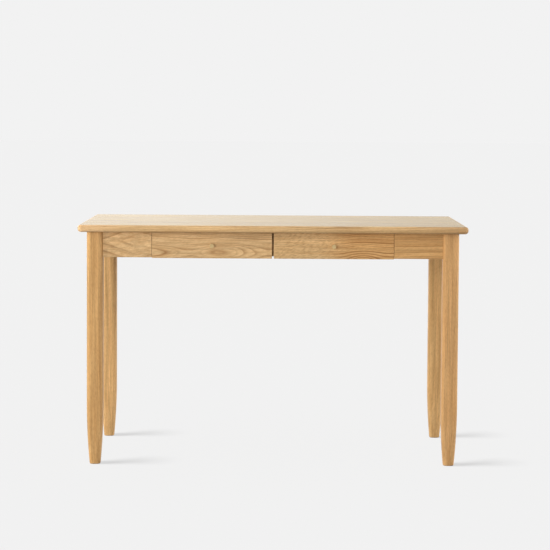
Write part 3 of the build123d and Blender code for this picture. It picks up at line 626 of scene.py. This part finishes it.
def screw_tree():
    """Threaded screws with a cross recess, one at each point of the starting mesh, that look along "out"."""
    lengths = ["Head Radius", "Head Rise", "Shank Radius", "Length", "Point", "Pitch"]
    tree, given = new_tree("driven_screws", lengths, Metal="Material")
    head, rise = given["Head Radius"], given["Head Rise"]
    shank, length = given["Shank Radius"], given["Length"]
    spot = put(tree, "GeometryNodeInputPosition").outputs[0]
    x, y, z = separated(tree, spot)
    is_pan = maths(tree, "GREATER_THAN", rise, 0.0)

    def raised(shape, level):
        return carried(tree, shape, combined(tree, 0.0, 0.0, level))

    ball = put(tree, "GeometryNodeMeshUVSphere", {"Segments": 24, "Rings": 12, "Radius": 1.0}).outputs[0]
    upper = combined(tree, x, y, maths(tree, "MAXIMUM", z, 0.0))
    dome = moved(tree, ball, vectors(tree, "MULTIPLY", upper, combined(tree, head, head, rise)))
    sink = maths(tree, "SUBTRACT", head, shank)
    cone = {"Vertices": 24, "Radius Top": head, "Radius Bottom": shank, "Depth": sink}
    cone = put(tree, "GeometryNodeMeshCone", cone).outputs[0]
    cone = raised(cone, maths(tree, "MULTIPLY", sink, -1.0))
    either = {"Switch": is_pan, "False": cone, "True": dome}
    top = put(tree, "GeometryNodeSwitch", either, input_type="GEOMETRY").outputs[0]
    span, wing, deep = (maths(tree, "MULTIPLY", head, share) for share in RECESS)
    recess = [cube(tree, span, wing, deep), cube(tree, wing, span, deep)]
    top = cut_away(tree, top, *(raised(bar, rise) for bar in recess))

    # The stem starts just inside the head: low in the cone of a flat one, at the base of a domed one
    core = maths(tree, "MULTIPLY", shank, THREAD_CORE)
    neck = maths(tree, "MULTIPLY", sink, maths(tree, "SUBTRACT", is_pan, NECK_SHARE))
    neck = maths(tree, "MINIMUM", neck, 0.1 * MM)
    run = maths(tree, "ADD", length, neck)
    rod = {"Vertices": 16, "Side Segments": 14, "Radius": core, "Depth": run}
    rod = put(tree, "GeometryNodeMeshCylinder", rod).outputs[0]
    rod = raised(rod, maths(tree, "MULTIPLY_ADD", run, -0.5, neck))
    climb = maths(tree, "MULTIPLY", run, THREADED_SHARE)
    spiral = {
        "Resolution": 16,
        "Rotations": maths(tree, "DIVIDE", climb, given["Pitch"]),
        "Start Radius": core,
        "End Radius": core,
        "Height": climb,
    }
    spiral = put(tree, "GeometryNodeCurveSpiral", spiral).outputs[0]
    ridge = {"Resolution": 3, "Radius": maths(tree, "SUBTRACT", shank, core)}
    ridge = put(tree, "GeometryNodeCurvePrimitiveCircle", ridge).outputs[0]
    thread = {"Curve": spiral, "Profile Curve": ridge, "Fill Caps": True}
    thread = put(tree, "GeometryNodeCurveToMesh", thread).outputs[0]
    thread = raised(thread, maths(tree, "SUBTRACT", 0.4 * MM, length))
    sharpened = maths(tree, "DIVIDE", maths(tree, "ADD", z, length), given["Point"])
    sharpened = maths(tree, "MAXIMUM", maths(tree, "MINIMUM", sharpened, 1.0), BLUNT_TIP)
    sharpened = combined(tree, sharpened, sharpened, 1.0)
    stem = moved(tree, joined(tree, rod, thread), vectors(tree, "MULTIPLY", spot, sharpened))

    screw = joined(tree, top, stem)
    out = put(tree, "GeometryNodeInputNamedAttribute", {"Name": "out"}, data_type="FLOAT_VECTOR").outputs[0]
    turn = put(tree, "FunctionNodeAlignRotationToVector", {"Vector": out}, axis="Z").outputs[0]
    points = put(tree, "GeometryNodeMeshToPoints", {0: given["Geometry"]}).outputs[0]
    spread = {"Points": points, "Instance": screw, "Rotation": turn}
    spread = put(tree, "GeometryNodeInstanceOnPoints", spread).outputs[0]
    quarter = {2: 0.0, 3: math.pi / 2, "Seed": SCREW_SEED}
    quarter = put(tree, "FunctionNodeRandomValue", quarter, data_type="FLOAT").outputs[1]
    spin = {"Instances": spread, "Rotation": combined(tree, 0.0, 0.0, quarter)}
    spread = put(tree, "GeometryNodeRotateInstances", spin).outputs[0]
    return close_tree(tree, spread, given["Metal"])


# Which board each piece is cut from


def wear(node, material):
    """Gives a CAD piece its finish."""
    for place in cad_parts[node].material_slots:
        place.material = material


BOARDS_ACROSS = {
    "left_front_apron": {
        "heart": (-382.9, -275.6, 694.2),
        "lean": (0.0, -0.2137, 0.0),
        "Ring Width": 0.01343,
        "Ring Start": 0.589,
        "Point": 1.0,
        "Figure": 0.95,
        "Sway": 0.00276,
        "Tint and Painted Light": COOL_LEFT,
        "Seed": 58.187,
    },
    "left_drawer_front": {
        "heart": (-150.0, -244.0, 660.9),
        "lean": (0.0, 0.037, -0.002),
        "Ring Width": 0.0062,
        "Ring Start": 0.325,
        "Figure": 1.33,
        "Swell": 0.00625,
        "Swell Length": 0.245,
        "Swell Skew": 0.3,
        "Sway": 0.009,
        "Tint and Painted Light": COOL_LEFT,
        "Seed": 25.31,
    },
    "right_drawer_front": {
        "heart": (279.0, -247.5, 634.0),
        "Ring Width": 0.0055,
        "Swell": 0.0075,
        "Swell Length": 0.26,
        "Swell Pinch": 0.8,
        "Figure": 1.9,
        "Figure From": -0.15,
        "Figure To": -0.02,
        "Fleck": 0.42,
        "Tint and Painted Light": WARM_RIGHT,
        "Seed": 3.0,
    },
    "right_front_apron": {
        "heart": (449.0, -235.0, 765.0),
        "lean": (0.0, 0.01, 0.01),
        "Ring Width": 0.006,
        "Figure": 1.1,
        "Tint and Painted Light": WARM_RIGHT,
        "Seed": 4.0,
    },
    "rear_apron": {
        "heart": (0.0, 220.0, 676.0),
        "lean": (0.0, -0.02, 0.0),
        "Ring Width": 0.0055,
        "Swell": 0.008,
        "Swell Length": 0.46,
        "Seed": 5.0,
    },
}
for board, cut in BOARDS_ACROSS.items():
    wear(board, oak_board(f"oiled_oak_{board}", GRAIN_ACROSS, **cut))
for side, sign in SIDES.items():
    wear(
        f"{side}_side_apron",
        oak_board(
            f"oiled_oak_{side}_side",
            GRAIN_REARWARD,
            heart=(sign * 515.0, 0.0, 668.0),
            lean=(sign * 0.03, 0.0, 0.0),
            **{"Ring Width": 0.0045, "Seed": 6.0 + sign},
        ),
    )
LEG_X, LEG_Y = 549.0, 249.0
LEG_HEART_X, LEG_HEART_Y = 630.0, 170.0
LEG_LEAN_X, LEG_LEAN_Y = 0.006, 0.01
LEG_SIZES = {
    "Height": 723.0,
    "Side": 50.0,
    "Corner Radius": 13.0,
    "Foot Side": 33.0,
    "Foot Round": 2.5,
    "Taper Height": 190.0,
    "Tenon Thickness": 10.0,
    "Tenon Depth": 21.0,
    "Tenon Offset": 6.0,
    "Tenon Bottom": 654.0,
    "Tenon Top": 713.0,
    "Tongue Length": 16.0,
    "Tongue Root": 12.0,
    "Tongue Tip": 16.0,
    "Tongue Offset": -14.5,
    "Tongue Bottom": 714.0,
}
SHAPED_LEG = leg_tree()


def make_leg(end, side):
    fore, sign = ENDS[end], SIDES[side]
    name = f"{end}_{side}_leg"
    # Each leg's wood carries its own tone and the painted light of its tint
    wood = oak_board(
        f"oiled_oak_{name}",
        GRAIN_UPRIGHT,
        heart=(sign * LEG_HEART_X, fore * LEG_HEART_Y, 0.0),
        lean=(LEG_LEAN_X * sign, LEG_LEAN_Y * fore, 0.0),
        **{"Ring Width": 0.0038, "Figure": 0.4, "Tint and Painted Light": LEG_TONE_AND_PAINTED_LIGHT[f"{end}_{side}"]},
        **{"Seed": 10.0 + 2 * fore + sign},
    )
    values = {
        **in_metres(LEG_SIZES),
        "Place": mm(sign * LEG_X, fore * LEG_Y, 0.0),
        "Outward": (sign, fore, 1.0),
        "Tongue": end == "front",
        "Wood": wood,
    }
    start = bpy.data.meshes.new(name)
    return grow(f"{name}_shaped", SHAPED_LEG, start, "desk_frame", "oak_leg", [name], **values)


legs = [make_leg(end, side) for end in ENDS for side in SIDES]
wear("tabletop", oak_top_of_staves())

BOX_WOOD = (srgb(226, 198, 152), srgb(208, 172, 122))
BOTTOM_VENEER = (srgb(228, 204, 162), srgb(216, 186, 138))
FRAME_WOOD = (srgb(214, 180, 132), srgb(194, 154, 106))
box_wood_across = drawer_wood("drawer_wood_across", GRAIN_ACROSS, *BOX_WOOD)
box_wood_rearward = drawer_wood("drawer_wood_rearward", GRAIN_REARWARD, *BOX_WOOD)
panel_wood = drawer_wood("drawer_bottom_veneer", GRAIN_ACROSS, *BOTTOM_VENEER)
frame_wood_across = drawer_wood("frame_wood_across", GRAIN_ACROSS, *FRAME_WOOD)
frame_wood_rearward = drawer_wood("frame_wood_rearward", GRAIN_REARWARD, *FRAME_WOOD)
brass = metal("satin_brass_knob", srgb(216, 191, 140), srgb(226, 201, 152), 0.62, 0.15)
zinc = metal("zinc_plated_steel", srgb(168, 170, 170), srgb(198, 200, 200), 0.38, 0.2)
for node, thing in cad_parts.items():
    slots = [place.material.name if place.material else "" for place in thing.material_slots]
    if "zinc_steel" in slots:
        wear(node, zinc)
    elif "satin_brass" in slots:
        wear(node, brass)
    elif "drawer_bottom_panel" in slots:
        wear(node, panel_wood)
    elif "drawer_box_wood" in slots:
        wear(node, box_wood_rearward if node.endswith("_side") else box_wood_across)
    elif "frame_wood" in slots or "beech_dowel" in slots:
        wear(node, frame_wood_across if node == "front_rail" else frame_wood_rearward)


# Screws: each place is a point in millimetres and the way the head looks there

SMALL_FLAT = {"Head Radius": 3.2, "Head Rise": 0.0, "Shank Radius": 1.75, "Point": 3.0, "Pitch": 1.6}
LARGE_FLAT = {"Head Radius": 4.0, "Head Rise": 0.0, "Shank Radius": 2.0, "Point": 3.0, "Pitch": 1.8}
LARGE_PAN = {"Head Radius": 4.0, "Head Rise": 2.6, "Shank Radius": 2.0, "Point": 3.0, "Pitch": 1.8}
UP, DOWN, REARWARD = (0, 0, 1), (0, 0, -1), (0, 1, 0)
DRAWER_X = 188.1
RUNNER_INNER_X, RUNNER_OUTER_X = 17.0, 359.2
RUNNER_Z = 676.0
BLOCK_X, BLOCK_Y = 479.44, 179.44
BLOCK_SEAT_X, BLOCK_SEAT_Y = 535.0, 235.0
BLOCK_LEVELS = {"front": 685.0, "rear": 703.0}
CLIP_SIDE_X, CLIP_REAR_Y, CLIP_Z = 534.25, 234.25, 721.5
RAIL_Y = -205.0
RAIL_UNDERSIDE, RAIL_UPPER_SIDE = 705.0, 723.0
GUIDE_X = 377.2
STOP_Y, STOP_UNDERSIDE = -175.0, 695.0
BOX_FRONT_Y = -233.5
KNOB_Z = 681.8
DRIVEN_SCREWS = screw_tree()


def drive(name, body, node, size, length, places):
    """Sets a screw at each place, as one piece."""
    start = bpy.data.meshes.new(name)
    start.from_pydata([mm(*place) for place, out in places], [], [])
    looks = start.attributes.new("out", "FLOAT_VECTOR", "POINT")
    looks.data.foreach_set("vector", [part for place, out in places for part in out])
    values = {**in_metres({**size, "Length": length}), "Metal": zinc}
    grow(name, DRIVEN_SCREWS, start, body, "zinc_steel", [node], **values)


def runner_screws():
    for y in (-200.5, -37.75, 125.0):
        for sign in SIDES.values():
            yield (sign * RUNNER_INNER_X, y, RUNNER_Z), (sign, 0, 0)
            yield (sign * RUNNER_OUTER_X, y, RUNNER_Z), (-sign, 0, 0)


def corner_block_screws():
    for end, level in BLOCK_LEVELS.items():
        fore = ENDS[end]
        for sign in SIDES.values():
            yield (sign * BLOCK_SEAT_X, fore * BLOCK_Y, level), (-sign, 0, 0)
            yield (sign * BLOCK_X, fore * BLOCK_SEAT_Y, level), (0, -fore, 0)


def clip_screws():
    for sign in SIDES.values():
        for y in (-110.0, 110.0):
            yield (sign * CLIP_SIDE_X, y, CLIP_Z), DOWN
        yield (sign * DRAWER_X, CLIP_REAR_Y, CLIP_Z), DOWN


def rail_screws():
    for sign in SIDES.values():
        for shift in (-90.0, 90.0):
            yield (sign * DRAWER_X + shift, RAIL_Y, RAIL_UNDERSIDE), DOWN


def guide_screws():
    for x in (-GUIDE_X, 0.0, GUIDE_X):
        for shift in (-20.0, 20.0):
            yield (x, RAIL_Y + shift, RAIL_UPPER_SIDE), UP


def stop_screws():
    for sign in SIDES.values():
        yield (sign * DRAWER_X, STOP_Y, STOP_UNDERSIDE), DOWN


drive("runner_screw_set", "desk_frame", "runner_screws", SMALL_FLAT, 15.5, list(runner_screws()))
drive("rail_screw_set", "desk_frame", "tabletop_rail_screws", LARGE_FLAT, 31.0, list(rail_screws()))
drive("guide_screw_set", "desk_frame", "guide_screws", LARGE_FLAT, 44.0, list(guide_screws()))
drive("block_screw_set", "desk_frame", "corner_block_screws", LARGE_PAN, 25.0, list(corner_block_screws()))
drive("clip_screw_set", "desk_frame", "tabletop_clip_screws", LARGE_PAN, 14.5, list(clip_screws()))
drive("stop_screw_set", "desk_frame", "drawer_stop_screws", SMALL_FLAT, 24.0, list(stop_screws()))
for side, sign in SIDES.items():
    drawer = f"{side}_drawer"
    fronts = [((sign * DRAWER_X + shift, BOX_FRONT_Y, RUNNER_Z), REARWARD) for shift in (-110.0, 110.0)]
    knob = [((sign * DRAWER_X, BOX_FRONT_Y, KNOB_Z), REARWARD)]
    drive(f"{drawer}_front_screw_set", drawer, f"{drawer}_front_screws", LARGE_FLAT, 27.5, fronts)
    drive(f"{drawer}_knob_screw_set", drawer, f"{drawer}_knob_screw", LARGE_PAN, 39.5, knob)


# Stage: a pale floor that runs on into the background

BACKGROUND = srgb(242, 242, 242)
FLOOR_LIT = srgb(148, 148, 148)
FLOOR_DULL = srgb(52, 52, 52)
FLOOR_REACH = 60.0
FLOOR_LIGHT = 8.3
FLOOR_LIGHT_ANGLE = math.radians(11.0)
FLOOR_LIGHT_FROM = (-0.24, -0.072, 1.0)
SHADOW_SHARE = 0.27
ROOM_LIGHT = 0.35
DESK_MIDDLE = (0.0, 0.0, 0.6)
TOP_LEFT_OF_MIDDLE = (-0.2, 0.0, 0.7)

# The room as the wood mirrors it: brighter on the left, and how far to each side the change takes
MIRRORED_LEFT = 1.1
MIRRORED_RIGHT = 0.68
MIRRORED_TURN = 0.14


def mixed(tree, share, first, second):
    return put(tree, "ShaderNodeMixShader", {0: share, 1: first.outputs[0], 2: second.outputs[0]})


def seen_directly(tree):
    """1 for what the camera sees, itself or in a reflection, and 0 for the light that falls on the desk."""
    rays = put(tree, "ShaderNodeLightPath").outputs
    seen = maths(tree, "MAXIMUM", rays["Is Camera Ray"], rays["Is Glossy Ray"])
    return maths(tree, "MAXIMUM", seen, rays["Is Transmission Ray"])


def lay_floor():
    """A floor that shows the background's own white, with a share of it left to the shadows."""
    reach = FLOOR_REACH
    corners = [(-reach, -reach, 0), (reach, -reach, 0), (reach, reach, 0), (-reach, reach, 0)]
    mesh = bpy.data.meshes.new("floor")
    mesh.from_pydata(corners, [], [(0, 1, 2, 3)])
    floor = bpy.data.objects.new("floor", mesh)
    bpy.context.scene.collection.objects.link(floor)
    paint, tree, shader = new_material("studio_floor")
    tree.nodes.remove(shader)
    lit = put(tree, "ShaderNodeBsdfDiffuse", {"Color": FLOOR_LIT})
    plain = put(tree, "ShaderNodeEmission", {"Color": BACKGROUND})
    shown = mixed(tree, 1.0 - SHADOW_SHARE, lit, plain)
    dull = put(tree, "ShaderNodeBsdfDiffuse", {"Color": FLOOR_DULL})
    surface = mixed(tree, seen_directly(tree), dull, shown)
    feed(tree, tree.nodes["Material Output"].inputs["Surface"], surface.outputs[0])
    mesh.materials.append(paint)
    return floor


def light_room():
    """Soft light from all round, in a room that the camera sees as plain background."""
    world = bpy.data.worlds.new("studio")
    bpy.context.scene.world = world
    world.use_nodes = True
    tree = world.node_tree
    soft = tree.nodes["Background"]
    soft.inputs["Color"].default_value = (1.0, 1.0, 1.0, 1.0)
    soft.inputs["Strength"].default_value = ROOM_LIGHT
    way = separated(tree, put(tree, "ShaderNodeTexCoord").outputs["Generated"])[0]
    mirrored = between(tree, way, -MIRRORED_TURN, MIRRORED_TURN, MIRRORED_LEFT, MIRRORED_RIGHT)
    straight = put(tree, "ShaderNodeLightPath").outputs["Is Camera Ray"]
    level = put(tree, "ShaderNodeMix", {0: straight, 2: mirrored, 3: 1.0}).outputs[0]
    plain = put(tree, "ShaderNodeBackground", {"Color": BACKGROUND, "Strength": level})
    surface = mixed(tree, seen_directly(tree), soft, plain)
    feed(tree, tree.nodes["World Output"].inputs["Surface"], surface.outputs[0])


def hang(name, lamp, place, aim):
    hung = bpy.data.objects.new(name, lamp)
    hung.location = place
    hung.rotation_euler = (Vector(aim) - Vector(place)).to_track_quat("-Z", "Y").to_euler()
    bpy.context.scene.collection.objects.link(hung)
    return hung


def share_light(hung, state):
    """Lets a lamp light the floor alone, or everything but the floor."""
    group = bpy.data.collections.new(f"{hung.name}_reach")
    group.objects.link(floor)
    group.collection_objects[0].light_linking.link_state = state
    hung.light_linking.receiver_collection = group


def hang_lamp(name, place, aim, size, power):
    """A square soft box that looks at a point on the desk, and that the wood and brass don't mirror."""
    lamp = bpy.data.lights.new(name, "AREA")
    lamp.shape = "SQUARE"
    lamp.size = size
    lamp.energy = power
    hung = hang(name, lamp, place, aim)
    hung.visible_glossy = False
    share_light(hung, "EXCLUDE")


def light_floor():
    """Even light on the floor from high on the left, that lays the short soft shadows of the legs."""
    lamp = bpy.data.lights.new("floor_light", "SUN")
    lamp.angle = FLOOR_LIGHT_ANGLE
    lamp.energy = FLOOR_LIGHT
    hung = hang("floor_light", lamp, FLOOR_LIGHT_FROM, (0.0, 0.0, 0.0))
    share_light(hung, "INCLUDE")
    group = bpy.data.collections.new("leg_shadows")
    for leg in legs:
        group.objects.link(leg)
    hung.light_linking.blocker_collection = group


# Camera: far in front of the desk and a little above it. The pitch is in degrees, the other turns in radians

PICTURE_PIXELS = 550
FOCAL_PIXELS = 1850.4
SENSOR = 36.0
CAMERA_PLACE = (-0.0021, -5.9528, 1.0975)
CAMERA_HEADING = -0.00137
CAMERA_PITCH = 3.377
CAMERA_ROLL = 0.0063
CAMERA_SHIFT = -0.1
CAMERA_REACH = 200.0


def set_camera():
    """The camera stands where the photograph's did."""
    data = bpy.data.cameras.new("camera")
    data.sensor_width = SENSOR
    data.lens = SENSOR * FOCAL_PIXELS / PICTURE_PIXELS
    data.shift_y = CAMERA_SHIFT
    data.clip_end = CAMERA_REACH
    camera = bpy.data.objects.new("camera", data)
    heading = Matrix.Rotation(CAMERA_HEADING, 4, "Z")
    tilt = Matrix.Rotation(math.radians(90.0 - CAMERA_PITCH), 4, "X")
    roll = Matrix.Rotation(CAMERA_ROLL, 4, "Z")
    camera.matrix_world = Matrix.Translation(CAMERA_PLACE) @ heading @ tilt @ roll
    bpy.context.scene.collection.objects.link(camera)
    bpy.context.scene.camera = camera


floor = lay_floor()
light_room()
light_floor()
hang_lamp("left", place=(-4.2, -1.1, 0.8), aim=DESK_MIDDLE, size=1.6, power=130.0)
hang_lamp("front", place=(-1.0, -3.6, 0.95), aim=DESK_MIDDLE, size=1.6, power=55.0)
hang_lamp("front_high", place=(0.3, -3.0, 2.6), aim=DESK_MIDDLE, size=1.6, power=12.0)
hang_lamp("right", place=(3.2, -0.3, 1.2), aim=DESK_MIDDLE, size=1.6, power=60.0)
hang_lamp("rear", place=(2.4, 1.8, 1.5), aim=DESK_MIDDLE, size=1.6, power=36.0)
hang_lamp("above", place=(-0.9, 1.1, 2.4), aim=TOP_LEFT_OF_MIDDLE, size=1.5, power=38.0)
set_camera()
bpy.context.scene.view_settings.view_transform = "Standard"
